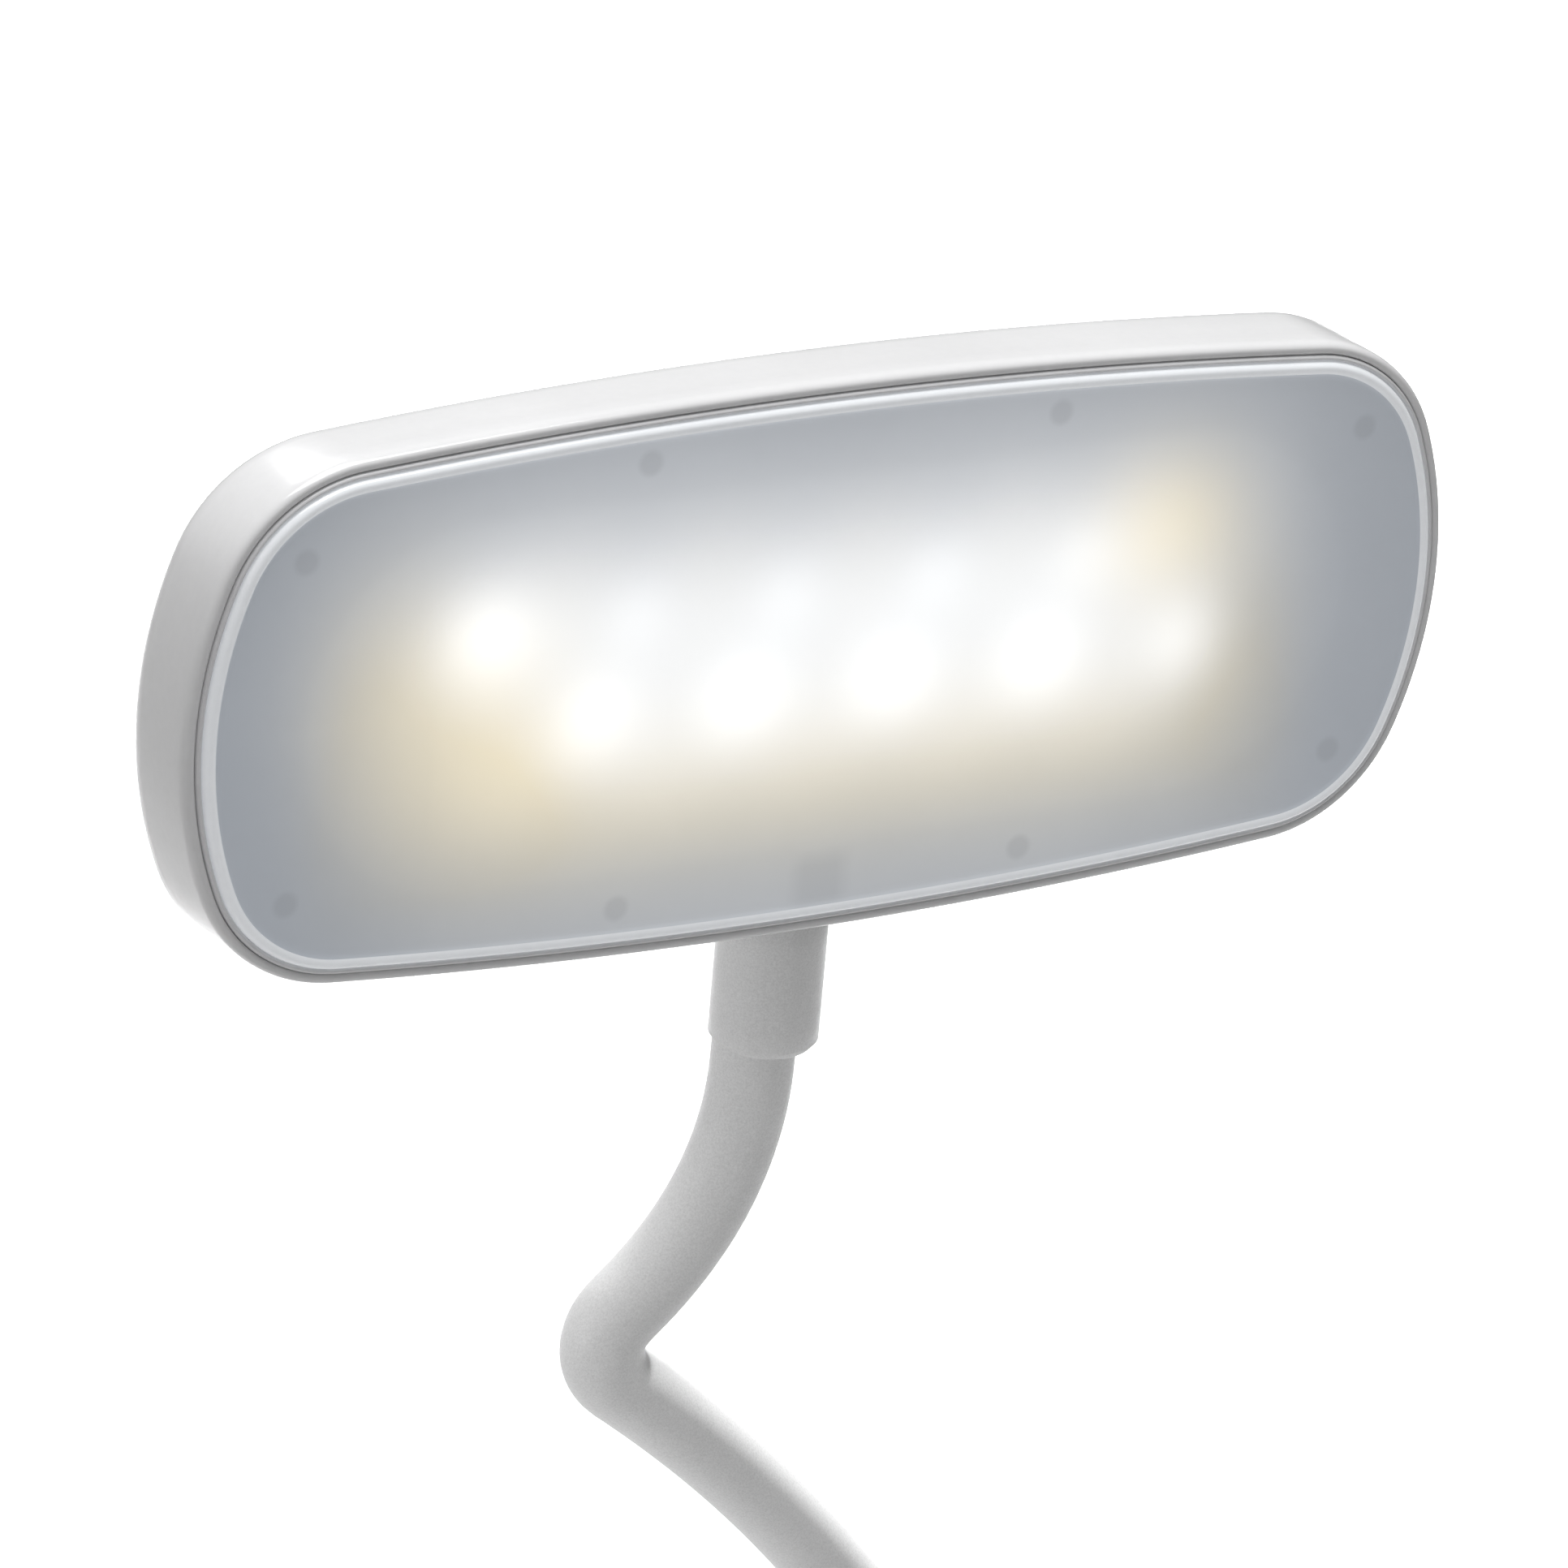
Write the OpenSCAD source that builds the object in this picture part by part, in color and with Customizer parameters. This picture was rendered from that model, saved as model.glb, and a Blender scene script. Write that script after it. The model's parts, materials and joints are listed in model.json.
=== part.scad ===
// Clip-on reading lamp: a wide LED head on a bent gooseneck that stands on a spring clip.
// The head faces -Y and is centred over the origin. The clip rests on z = 0 and opens towards -X.

/* [Head] */
// Width of the head
head_w = 156; // [150:1:160]
// Height of the head
head_h = 64.5; // [62:0.5:68]
// Depth of the head, front to back
head_d = 16.5; // [16:0.5:19]
// How far the top and bottom edges bow outwards
head_bow_z = 4.2; // [3:0.1:6]
// How far the left and right edges bow outwards
head_bow_x = 11.8; // [9:0.1:14]
// Corner radius of the head
head_corner = 18.4; // [16:0.1:21]
// Wall of the head's shell
shell_wall = 1.3; // [1.2:0.1:1.6]
// Number of LEDs in each of the two rows
led_row_count = 10; // [6:2:10]

/* [Gooseneck] */
// Outer diameter of the soft sleeve
neck_d = 9.5; // [9:0.1:10]
// Diameter of the steel core
core_d = 6.2; // [5:0.1:6.4]
// Gap all round each ball joint
ball_gap = 0.3; // [0.25:0.05:0.5]
// Radius of the tight bend
knee_r = 5.3; // [5.3:0.1:7]

/* [Clip] */
// Width of the clip
clip_w = 46; // [46:1:54]
// Length of the clip
clip_l = 84; // [84:1:96]
// Height of the hinge pin above the table
pin_z = 22; // [22:0.5:24]
// Radius of the hinge pin
pin_r = 1.5; // [1.4:0.1:1.6]
// Thickness of each rubber jaw pad
pad_t = 2; // [1.5:0.1:2.2]

/* [Hidden] */
$fn = 48;

// The neck's centre line lies in the XZ plane. Each row is [length, turn in degrees],
// from the clip up to the head. A positive turn bends towards +X.
// Each link starts straight for the length of its ball socket. Its pieces are a hair apart.
lead = 5.2;
hair = 0.03;
stub_run = [[21, 0]];
link_1_run = [[24, 0]];
link_2_run = [[lead, 0], [28 - lead, -18]];
link_3_run = [[lead, 0], [22 - lead, -19.8], [25, -8]];
knee_turn = 101.2;
link_4_run = [[lead, 0], [24 - lead, -6.8], [knee_r * knee_turn * PI / 180, knee_turn], [1.5, 0]];
link_5_run = [[lead, 0], [5, -14], [22, -34.6]];
link_6_run = [[12.4, 0]];
runs = [stub_run, link_1_run, link_2_run, link_3_run, link_4_run, link_5_run, link_6_run];

// End of one row, for a state of [x, z, heading]; heading 0 is straight up.
function after_row(s, row) =
    row[1] == 0
    ? [s[0] + row[0] * sin(s[2]), s[1] + row[0] * cos(s[2]), s[2]]
    : let (r = row[0] * 180 / (PI * row[1]), h = s[2] + row[1])
        [s[0] + r * (cos(s[2]) - cos(h)), s[1] + r * (sin(h) - sin(s[2])), h];
function after_rows(s, rows, i = 0) =
    i == len(rows) ? s : after_rows(after_row(s, rows[i]), rows, i + 1);
function state_before(n) = n == 0 ? neck_start : after_rows(state_before(n - 1), runs[n - 1]);

// Clip heights, from the table up
sole_t = 1.6;
plate_top = 8;
housing_z0 = pin_z + 8;
seam_z = housing_z0 + 9;
housing_top = housing_z0 + 20;
cover_wall = 2;
ferrule_h = 9;
pin_y = -2;
clip_corner = 12;
// Inside the clip, +Y is towards the mouth; in_clip() turns that to -X.
jaw_y0 = 24;
jaw_y1 = clip_l / 2 - 1;
pad_w = clip_w - 6;
jaw_gap = 0.4;

// The clip stands to one side so that the head's middle is over the origin.
neck_z0 = housing_top - 11;
path_end = after_rows([0, neck_z0, 0], [for (run = runs) for (row = run) row]);
clip_x = -path_end[0];
neck_start = [clip_x, neck_z0, 0];
neck_r = neck_d / 2;
core_r = core_d / 2;
bore_r = core_r + 0.1;

// Head heights and depths
collar_grip = 10;
collar_r = 6.2;
collar_drop = 16.9;
collar_z0 = path_end[1] - collar_grip;
head_z = collar_z0 + collar_drop + head_h / 2;
front_y = -9.5;
back_y = front_y + head_d;
lip_inset = shell_wall + 0.15;
lip_w = 0.5;
diffuser_inset = lip_inset + lip_w + 0.1;
rim_w = 1.5;
board_y = 0;
board_t = 1.2;
post_r = 1.4;
post_spots = [for (sx = [-1, 1], sz = [-1, 1], p = [[65.3, 19.4], [25.3, 25.7]]) [sx * p[0], sz * p[1]]];
led_pitch = 9.25;
led_row_shift = 2.35;
led_row_z = 5.7;
led_mid_z = 2.5;
anchor_h = 5.4;
anchor_z = head_z - head_h / 2 + 8;

// Clip insides
screw_x = clip_w / 2 - 4.8;
screw_y = clip_l / 2 - 8;
button_x = 9;
button_y = -26;
button_r = 5;
light_y = button_y - 5.8;
pcb_z = housing_z0 + 9.8;
pcb_top = pcb_z + 1.2;

// ---- Head outline: four long arcs joined by four tangent corner arcs ----
r_top = (pow(head_w / 2, 2) + pow(head_bow_z, 2)) / (2 * head_bow_z);
r_side = (pow(head_h / 2, 2) + pow(head_bow_x, 2)) / (2 * head_bow_x);
top_c = [0, head_h / 2 - r_top];
side_c = [head_w / 2 - r_side, 0];
span = norm(side_c - top_c);
reach_top = r_top - head_corner;
reach_side = r_side - head_corner;
along = (pow(reach_top, 2) - pow(reach_side, 2) + pow(span, 2)) / (2 * span);
across = sqrt(pow(reach_top, 2) - pow(along, 2));
unit = (side_c - top_c) / span;
corner_c = top_c + unit * along + [unit[1], -unit[0]] * across;
a_side = atan2(corner_c[1] - side_c[1], corner_c[0] - side_c[0]);
a_top = atan2(corner_c[1] - top_c[1], corner_c[0] - top_c[0]);

function arc(c, r, a0, a1, n) = [for (i = [0:n - 1]) c + r * [cos(a0 + (a1 - a0) * i / n), sin(a0 + (a1 - a0) * i / n)]];
function quarter(inset) = concat(
    arc(side_c, r_side - inset, 0, a_side, 5),
    arc(corner_c, head_corner - inset, a_side, a_top, 9),
    arc(top_c, r_top - inset, a_top, 90, 6));
function flip_x(pts) = [for (i = [len(pts) - 1:-1:1]) [-pts[i][0], pts[i][1]]];
function outline(inset) = let (q = quarter(inset), top = [[0, head_h / 2 - inset]],
    half = concat(q, top, flip_x(q), [[-q[0][0], 0]]))
    concat(half, [for (i = [len(half) - 2:-1:1]) [half[i][0], -half[i][1]]]);

// A flat slab of the head's outline between two depths
module slab(inset, y0, y1) {
    translate([0, y1, head_z]) rotate([90, 0, 0]) linear_extrude(y1 - y0) polygon(outline(inset));
}

module ring_slab(inset_out, inset_in, y0, y1) {
    translate([0, y1, head_z]) rotate([90, 0, 0]) linear_extrude(y1 - y0) difference() {
        polygon(outline(inset_out));
        polygon(outline(inset_in));
    }
}

// A cylinder along Y, from depth y0 to y1
module rod_y(r, x, z, y0, y1) {
    translate([x, y1, z]) rotate([90, 0, 0]) cylinder(r = r, h = y1 - y0);
}

// A cylinder along X, from x0 to x1
module rod_x(r, y, z, x0, x1) {
    translate([x0, y, z]) rotate([0, 90, 0]) cylinder(r = r, h = x1 - x0);
}

module head_shell() {
    edge = 5;
    color("white") difference() {
        union() {
            hull() {
                slab(0, front_y + 1.4, back_y - edge);
                slab(1.5, back_y - edge, back_y - 1.5);
                slab(edge, back_y - edge, back_y);
            }
            slab(0.4, front_y + 0.8, front_y + 1.5);
        }
        hull() {
            slab(shell_wall, front_y, back_y - edge);
            slab(edge + 1, back_y - edge, back_y - 2);
        }
        translate([0, 0, head_z - head_h / 2 - 1]) cylinder(r = collar_r + 0.05, h = 8);
    }
}

module head_bezel() {
    color("white") ring_slab(lip_inset, lip_inset + lip_w, front_y + 0.6, front_y + 3.4);
}

module diffuser() {
    color("lightsteelblue") difference() {
        union() {
            slab(diffuser_inset, front_y, front_y + 2.4);
            for (p = post_spots) rod_y(post_r, p[0], head_z + p[1], front_y + 2, board_y - 1);
        }
        slab(diffuser_inset + rim_w, front_y - 1, front_y + 0.5);
    }
}

// The white sheet in front of the board, with a long slot for each row of LEDs
module reflector_sheet() {
    color("whitesmoke") difference() {
        slab(6, board_y - 0.6, board_y);
        for (row = [-1, 1]) translate([-51, board_y - 1, head_z + led_mid_z + row * led_row_z - 3.6])
            cube([102, 3, 7.2]);
        for (sx = [-1, 1]) rod_y(2.4, sx * 57, head_z, board_y - 1, board_y + 1);
        translate([-9, -5, head_z - head_h / 2]) cube([18, 12, 16]);
    }
}

// One LED package. Each row takes the two colours in turn, and the lower row is out of step.
module led_at(row, i) {
    x = (i - (led_row_count - 1) / 2) * led_pitch - row * led_row_shift;
    translate([x - 1.4, board_y - 0.8, head_z + led_mid_z + row * led_row_z - 1.75]) cube([2.8, 0.8, 3.5]);
}

module leds(first) {
    for (i = [0:2:led_row_count - 1]) {
        led_at(1, i + first);
        led_at(-1, i + 1 - first);
    }
}

module led_board() {
    color("gainsboro") difference() {
        translate([0, board_y + board_t, head_z]) rotate([90, 0, 0]) linear_extrude(board_t)
            hull() {
                for (sx = [-1, 1]) translate([sx * 43, 0]) circle(r = 21.4);
            }
        for (sx = [-1, 1]) rod_y(1.15, sx * 57, head_z, board_y - 1, board_y + 3);
    }
}

module cool_leds() {
    color("ivory") leds(0);
}

module warm_leds() {
    color("gold") leds(1);
}

module board_screws() {
    color("silver") for (sx = [-1, 1]) {
        rod_y(2, sx * 57, head_z, board_y - 1.4, board_y);
        rod_y(1.1, sx * 57, head_z, board_y, back_y - 2);
    }
}

module neck_anchor() {
    z0 = anchor_z - anchor_h / 2;
    color("silver") difference() {
        translate([-8, -4.2, z0]) cube([16, 8.4, anchor_h]);
        translate([0, 0, z0 - 1]) cylinder(r = core_r + 0.05, h = anchor_h + 2);
        for (sx = [-1, 1]) rod_y(0.85, sx * 6, anchor_z, -5, 5);
    }
}

module anchor_screws() {
    color("silver") for (sx = [-1, 1]) {
        rod_y(0.8, sx * 6, anchor_z, -4.2, back_y - 2);
        rod_y(1.5, sx * 6, anchor_z, -5.2, -4.2);
    }
}

module head_collar() {
    edge = 0.8;
    color("whitesmoke") translate([0, 0, collar_z0]) rotate_extrude() difference() {
        union() {
            translate([0, edge]) square([collar_r, collar_drop + 1.6]);
            square([collar_r - edge, 1]);
            translate([collar_r - edge, edge]) intersection() {
                circle(r = edge);
                translate([0, -1]) square([1, 2]);
            }
        }
        square([neck_r + 0.05, collar_grip]);
        square([core_r + 0.05, 20]);
    }
}

// ---- Gooseneck ----
// Sweep a ring of outer radius r and inner radius r_in along rows that start at state s
module sweep_rows(s, rows, r, r_in, i = 0) {
    if (i < len(rows)) {
        sweep_row(s, rows[i], r, r_in);
        sweep_rows(after_row(s, rows[i]), rows, r, r_in, i + 1);
    }
}

module ring_2d(r, r_in) {
    difference() {
        circle(r = r);
        if (r_in > 0) circle(r = r_in);
    }
}

module sweep_row(s, row, r, r_in) {
    if (row[1] == 0)
        translate([s[0], 0, s[1]]) rotate([0, s[2], 0]) linear_extrude(row[0] - hair) ring_2d(r, r_in);
    else
        mitred_bend(s, row, r, r_in);
}

// A bend, as short straight pieces cut on mitre planes. The first and the last piece end square.
module mitred_bend(s, row, r, r_in) {
    steps = ceil(abs(row[1]) / 16);
    step = row[1] / steps;
    bend = row[0] * 180 / (PI * row[1]);
    slit = atan(hair / bend);
    reach = 2 * bend + sign(bend) * r;
    half_l = (abs(bend) + r) * tan(abs(step) / 2) + 1;
    for (i = [0:steps]) {
        a0 = (max(i - 0.5, 0) - i) * step;
        a1 = (min(i + 0.5, steps) - i) * step - slit;
        translate([s[0] + bend * cos(s[2]), 0, s[1] - bend * sin(s[2])])
            rotate([0, s[2] + i * step, 0]) intersection() {
                translate([-bend, 0, -half_l]) linear_extrude(2 * half_l) ring_2d(r, r_in);
                rotate([90, 0, 0]) linear_extrude(3 * r, center = true)
                    polygon([[0, 0], [-reach, reach * tan(a0)], [-reach, reach * tan(a1)]]);
            }
    }
}

// Place a child at a state, with its own +Z along the heading
module at_state(s) {
    translate([s[0], 0, s[1]]) rotate([0, s[2], 0]) children();
}

module sleeve(n, has_socket, has_ball) {
    s0 = state_before(n);
    s1 = after_rows(s0, runs[n]);
    color("lightgray") difference() {
        union() {
            sweep_rows(s0, runs[n], neck_r, bore_r);
            if (has_ball) at_state(s1) rotate_extrude() intersection() {
                circle(r = neck_r);
                translate([bore_r, 0]) square(neck_r);
            }
        }
        if (has_socket) at_state(s0) sphere(r = neck_r + ball_gap);
    }
}

module core(n, has_socket, extra = 0) {
    s0 = state_before(n);
    rows = extra > 0 ? concat(runs[n], [[extra, 0]]) : runs[n];
    color("silver") difference() {
        sweep_rows(s0, rows, core_r, 0);
        if (has_socket) at_state(s0) sphere(r = neck_r + ball_gap);
    }
}

// ---- Clip ----
// Everything in the clip is drawn around its own middle, with the mouth at +Y, and turned here.
module in_clip() {
    translate([clip_x, 0, 0]) rotate([0, 0, 90]) children();
}

module neck_ferrule() {
    color("whitesmoke") translate([0, 0, housing_top]) rotate_extrude() difference() {
        union() {
            translate([0, -cover_wall]) square([6, cover_wall]);
            polygon([[0, 0], [8.5, 0], [8.5, 1.5], [6.6, ferrule_h - 1.2], [6.2, ferrule_h - 0.5], [5.8, ferrule_h], [0, ferrule_h]]);
        }
        translate([0, -cover_wall - 1]) square([neck_r + 0.05, ferrule_h + cover_wall + 2]);
    }
}

module neck_nut() {
    color("silver") translate([0, 0, housing_top - cover_wall - 9.6]) difference() {
        cylinder(r = 7, h = 7, $fn = 6);
        translate([0, 0, -1]) cylinder(r = neck_r + 0.05, h = 9);
    }
}

module clip_outline(inset) {
    r = clip_corner - inset;
    w = clip_w / 2 - inset - r;
    l = clip_l / 2 - inset - r;
    square([2 * (w + r), 2 * l], center = true);
    square([2 * w, 2 * (l + r)], center = true);
    for (sx = [-1, 1], sy = [-1, 1]) translate([sx * w, sy * l]) circle(r = r);
}

module clip_slab(inset, z0, z1) {
    translate([0, 0, z0]) linear_extrude(z1 - z0) clip_outline(inset);
}

module housing_cover() {
    color("white") difference() {
        union() {
            clip_slab(0, seam_z + 0.1, housing_top - 3);
            clip_slab(0.5, housing_top - 3, housing_top - 1.6);
            clip_slab(1.4, housing_top - 1.6, housing_top - 0.6);
            clip_slab(2.6, housing_top - 0.6, housing_top);
        }
        clip_slab(cover_wall, seam_z, housing_top - 3);
        clip_slab(cover_wall + 1.4, housing_top - 3.1, housing_top - cover_wall);
        translate([0, 0, housing_top - 4]) cylinder(r = 6.05, h = 6);
        for (sx = [-1, 1]) translate([sx * button_x, button_y, housing_top - 4])
            cylinder(r = button_r + 0.3, h = 6);
        translate([0, light_y, housing_top - 4]) cylinder(r = 1.1, h = 6);
        translate([-4.8, -clip_l / 2 - 1, pcb_top - 0.2]) cube([9.6, 5, 3.7]);
    }
    color("white") for (sx = [-1, 1], sy = [-1, 1]) translate([sx * screw_x, sy * screw_y, seam_z + 0.1])
        difference() {
            cylinder(r = 2.6, h = housing_top - seam_z - 2.6);
            translate([0, 0, -1]) cylinder(r = 1.1, h = 7);
        }
}

module housing_base() {
    lug_r = 5;
    color("white") {
        difference() {
            union() {
                clip_slab(0.8, housing_z0, housing_z0 + 1);
                clip_slab(0, housing_z0 + 1, seam_z);
            }
            difference() {
                clip_slab(cover_wall, housing_z0 + 2, seam_z + 1);
                for (sx = [-1, 1], sy = [-1, 1]) translate([sx * screw_x, sy * screw_y, housing_z0])
                    cylinder(r = 2.8, h = seam_z - housing_z0);
            }
            for (sx = [-1, 1], sy = [-1, 1]) translate([sx * screw_x, sy * screw_y, housing_z0 - 1]) {
                cylinder(r = 1.35, h = 14);
                cylinder(r = 2.3, h = 3);
            }
            for (sx = [-1, 1]) translate([sx * 12, 33, housing_z0 - 1]) cylinder(r = 1.1, h = 4);
        }
        for (sx = [-1, 1]) difference() {
            union() {
                rod_x(lug_r, pin_y, pin_z, sx * 14.8 - 1.8, sx * 14.8 + 1.8);
                translate([sx * 14.8 - 1.8, pin_y - lug_r, pin_z])
                    cube([3.6, 2 * lug_r, housing_z0 - pin_z + 1]);
            }
            rod_x(pin_r + 0.05, pin_y, pin_z, -20, 20);
        }
    }
}

module housing_screws() {
    color("silver") for (sx = [-1, 1], sy = [-1, 1]) translate([sx * screw_x, sy * screw_y, 0]) {
        translate([0, 0, housing_z0 + 0.4]) cylinder(r = 2.1, h = 1.6);
        translate([0, 0, housing_z0 + 2]) cylinder(r = 1.05, h = 12);
    }
}

module battery() {
    color("slategray") translate([-15, 9.5, housing_z0 + 2.2]) cube([30, 29.5, 7.6]);
}

module control_board() {
    color("darkgreen") translate([-14, -clip_l / 2 + 2.6, pcb_z]) cube([28, 28, pcb_top - pcb_z]);
    color("darkgreen") for (sx = [-1, 1]) translate([sx * 11, -16, housing_z0 + 2])
        cylinder(r = 2, h = pcb_z - housing_z0 - 2);
}

module tact_switches() {
    color("dimgray") for (sx = [-1, 1]) translate([sx * button_x, button_y, pcb_top]) {
        translate([-3, -3, 0]) cube([6, 6, 2.6]);
        translate([0, 0, 2.6]) cylinder(r = 1.7, h = 0.9);
    }
}

module charge_socket() {
    color("silver") translate([-4.5, -clip_l / 2 + 0.4, pcb_top]) difference() {
        cube([9, 7.4, 3.3]);
        translate([0.4, -1, 0.4]) cube([8.2, 7, 2.5]);
    }
    color("dimgray") translate([-3.4, -clip_l / 2 + 2, pcb_top + 1.3]) cube([6.8, 5.2, 0.7]);
}

// A round push button: a cap with a flange that stays under the cover
module push_button(sx) {
    translate([sx * button_x, button_y, 0]) rotate_extrude() {
        translate([0, housing_top - 2.9]) square([button_r + 0.9, 0.8]);
        translate([0, housing_top - 2.2]) square([button_r, 2.4]);
        translate([0, housing_top + 0.1]) square([button_r - 0.5, 0.6]);
    }
    translate([sx * button_x, button_y, pcb_top + 4.2]) cylinder(r = 1.5, h = housing_top - 2.8 - pcb_top - 4.2);
}

module power_button() {
    color("lightgray") push_button(-1);
}

module colour_button() {
    color("lightgray") push_button(1);
}

module charge_light() {
    color("lightcyan") translate([0, light_y, pcb_top]) cylinder(r = 1, h = housing_top - pcb_top - 0.3);
}

module upper_jaw() {
    z0 = plate_top + 2 * pad_t + jaw_gap;
    color("white") difference() {
        intersection() {
            translate([-clip_w / 2, jaw_y0, z0]) cube([clip_w, jaw_y1 - jaw_y0, housing_z0 - z0]);
            clip_slab(1.2, z0 - 1, housing_z0 + 1);
        }
        for (sx = [-1, 1]) translate([sx * 12, 33, z0 + 4]) cylinder(r = 1.1, h = 30);
        for (sx = [-1, 0, 1]) translate([sx * 12 - 4, jaw_y1 - 3, z0 + 3]) cube([8, 5, 10]);
    }
}

module jaw_screws() {
    color("silver") for (sx = [-1, 1]) translate([sx * 12, 33, 0]) {
        translate([0, 0, housing_z0 - 9]) cylinder(r = 1, h = 11);
        translate([0, 0, housing_z0 + 2]) cylinder(r = 1.9, h = 0.15);
    }
}

// A rubber pad with raised ribs across it
module jaw_pad(z0, rib_z) {
    rib_w = 1.4;
    rib_h = 0.61;
    intersection() {
        union() {
            translate([-pad_w / 2, jaw_y0 + 1, z0]) cube([pad_w, jaw_y1 - jaw_y0 - 2, pad_t - 0.6]);
            for (i = [0:5]) translate([-pad_w / 2, jaw_y0 + 1.4 + i * 2.5, rib_z]) cube([pad_w, rib_w, rib_h]);
        }
        clip_slab(2.4, z0 - 1, z0 + pad_t + 1);
    }
}

module upper_jaw_pad() {
    z = plate_top + pad_t + jaw_gap;
    color("dimgray") jaw_pad(z + 0.6, z);
}

module lower_jaw_pad() {
    color("dimgray") jaw_pad(plate_top, plate_top + pad_t - 0.61);
}

// Turns of wire side by side on the pin, with one leg that presses on the housing
module torsion_spring() {
    turn_pitch = 1.5;
    wire_r = 0.8;
    coil_r = 3.4;
    color("silver") {
        translate([-8 * turn_pitch + turn_pitch / 2, pin_y, pin_z]) rotate([0, 90, 0]) rotate_extrude()
            for (i = [0:15]) translate([coil_r, i * turn_pitch]) circle(r = wire_r, $fn = 24);
        translate([11, pin_y, pin_z + coil_r]) rotate([76, 0, 0]) cylinder(r = 0.7, h = 16);
    }
}

module spring_leg() {
    color("silver") translate([-11, pin_y - 5, plate_top + 0.7]) rotate([90, 0, 0]) cylinder(r = 0.7, h = 24);
}

module hinge_pin() {
    color("silver") {
        rod_x(pin_r, pin_y, pin_z, -20.2, 20.2);
        rod_x(pin_r + 1.1, pin_y, pin_z, 20.2, 21.2);
        rod_x(pin_r + 1.1, pin_y, pin_z, -21.2, -20.2);
    }
}

module lower_jaw() {
    ear_r = 5;
    color("white") {
        difference() {
            union() {
                clip_slab(0.8, sole_t, sole_t + 0.8);
                clip_slab(0, sole_t + 0.8, plate_top - 1);
                clip_slab(0.8, plate_top - 1, plate_top);
            }
            translate([-18.2, -30.2, sole_t - 1]) cube([36.4, 60.4, 4.4]);
        }
        for (sx = [-1, 1]) difference() {
            union() {
                rod_x(ear_r, pin_y, pin_z, sx * 18.6 - 1.6, sx * 18.6 + 1.6);
                translate([sx * 18.6 - 1.6, pin_y - ear_r, plate_top - 1]) cube([3.2, 2 * ear_r, pin_z - plate_top + 1]);
            }
            rod_x(pin_r + 0.02, pin_y, pin_z, -22, 22);
        }
    }
}

module base_weight() {
    color("slategray") translate([-18, -30, sole_t]) cube([36, 60, 3.2]);
}

module base_sole() {
    color("dimgray") clip_slab(2, 0, sole_t);
}

head_shell();
head_bezel();
diffuser();
reflector_sheet();
led_board();
cool_leds();
warm_leds();
board_screws();
neck_anchor();
anchor_screws();
head_collar();
sleeve(0, false, true);  // neck_stub
sleeve(1, true, true);  // neck_sleeve_1
sleeve(2, true, true);  // neck_sleeve_2
sleeve(3, true, true);  // neck_sleeve_3
sleeve(4, true, true);  // neck_sleeve_4
sleeve(5, true, true);  // neck_sleeve_5
sleeve(6, true, false);  // neck_sleeve_6
core(0, false);  // core_stub
core(1, true);  // core_1
core(2, true);  // core_2
core(3, true);  // core_3
core(4, true);  // core_4
core(5, true);  // core_5
core(6, true, 14);  // core_6
in_clip() neck_ferrule();
in_clip() neck_nut();
in_clip() housing_cover();
in_clip() housing_base();
in_clip() housing_screws();
in_clip() battery();
in_clip() control_board();
in_clip() tact_switches();
in_clip() charge_socket();
in_clip() power_button();
in_clip() colour_button();
in_clip() charge_light();
in_clip() upper_jaw();
in_clip() jaw_screws();
in_clip() upper_jaw_pad();
in_clip() torsion_spring();
in_clip() spring_leg();
in_clip() hinge_pin();
in_clip() lower_jaw();
in_clip() lower_jaw_pad();
in_clip() base_weight();
in_clip() base_sole();
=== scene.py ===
import json
import math

import bmesh
import bpy
import numpy as np
from mathutils import Matrix, Vector


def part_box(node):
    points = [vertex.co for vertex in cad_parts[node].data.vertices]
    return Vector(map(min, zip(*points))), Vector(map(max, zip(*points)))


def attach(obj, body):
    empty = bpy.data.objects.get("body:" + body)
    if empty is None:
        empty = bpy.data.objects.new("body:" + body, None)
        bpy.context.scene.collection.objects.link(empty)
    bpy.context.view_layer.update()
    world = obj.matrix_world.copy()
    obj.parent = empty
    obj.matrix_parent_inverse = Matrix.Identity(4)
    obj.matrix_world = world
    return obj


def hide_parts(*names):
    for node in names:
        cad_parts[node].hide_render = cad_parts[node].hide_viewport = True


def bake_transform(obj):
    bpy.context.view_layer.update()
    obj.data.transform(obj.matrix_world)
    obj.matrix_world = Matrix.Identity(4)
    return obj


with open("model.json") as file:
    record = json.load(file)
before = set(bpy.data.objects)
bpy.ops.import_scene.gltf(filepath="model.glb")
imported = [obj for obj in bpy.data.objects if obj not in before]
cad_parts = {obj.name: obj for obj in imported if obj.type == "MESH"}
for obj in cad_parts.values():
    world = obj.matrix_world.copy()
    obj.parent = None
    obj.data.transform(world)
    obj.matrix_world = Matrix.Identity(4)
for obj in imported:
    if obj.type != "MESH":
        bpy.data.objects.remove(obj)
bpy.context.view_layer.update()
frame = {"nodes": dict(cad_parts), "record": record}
MM = 0.001
scene = bpy.context.scene
scene.view_settings.view_transform = "Standard"

# ---------------------------------------------------------------- places from the CAD
shell_lo, shell_hi = [np.array(v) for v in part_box("head_shell")]
collar_lo, collar_hi = [np.array(v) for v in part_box("head_collar")]
HEAD_W = (shell_hi[0] - shell_lo[0]) / MM
HEAD_H = (shell_hi[2] - shell_lo[2]) / MM
HEAD_Z = (shell_hi[2] + shell_lo[2]) / 2
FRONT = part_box("diffuser")[0][1]
BACK = shell_hi[1]


# ---------------------------------------------------------------- node helpers
def new_material(name):
    mat = bpy.data.materials.new(name)
    mat.use_nodes = True
    tree = mat.node_tree
    bsdf = next(n for n in tree.nodes if n.type == "BSDF_PRINCIPLED")
    return mat, tree, bsdf


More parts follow.
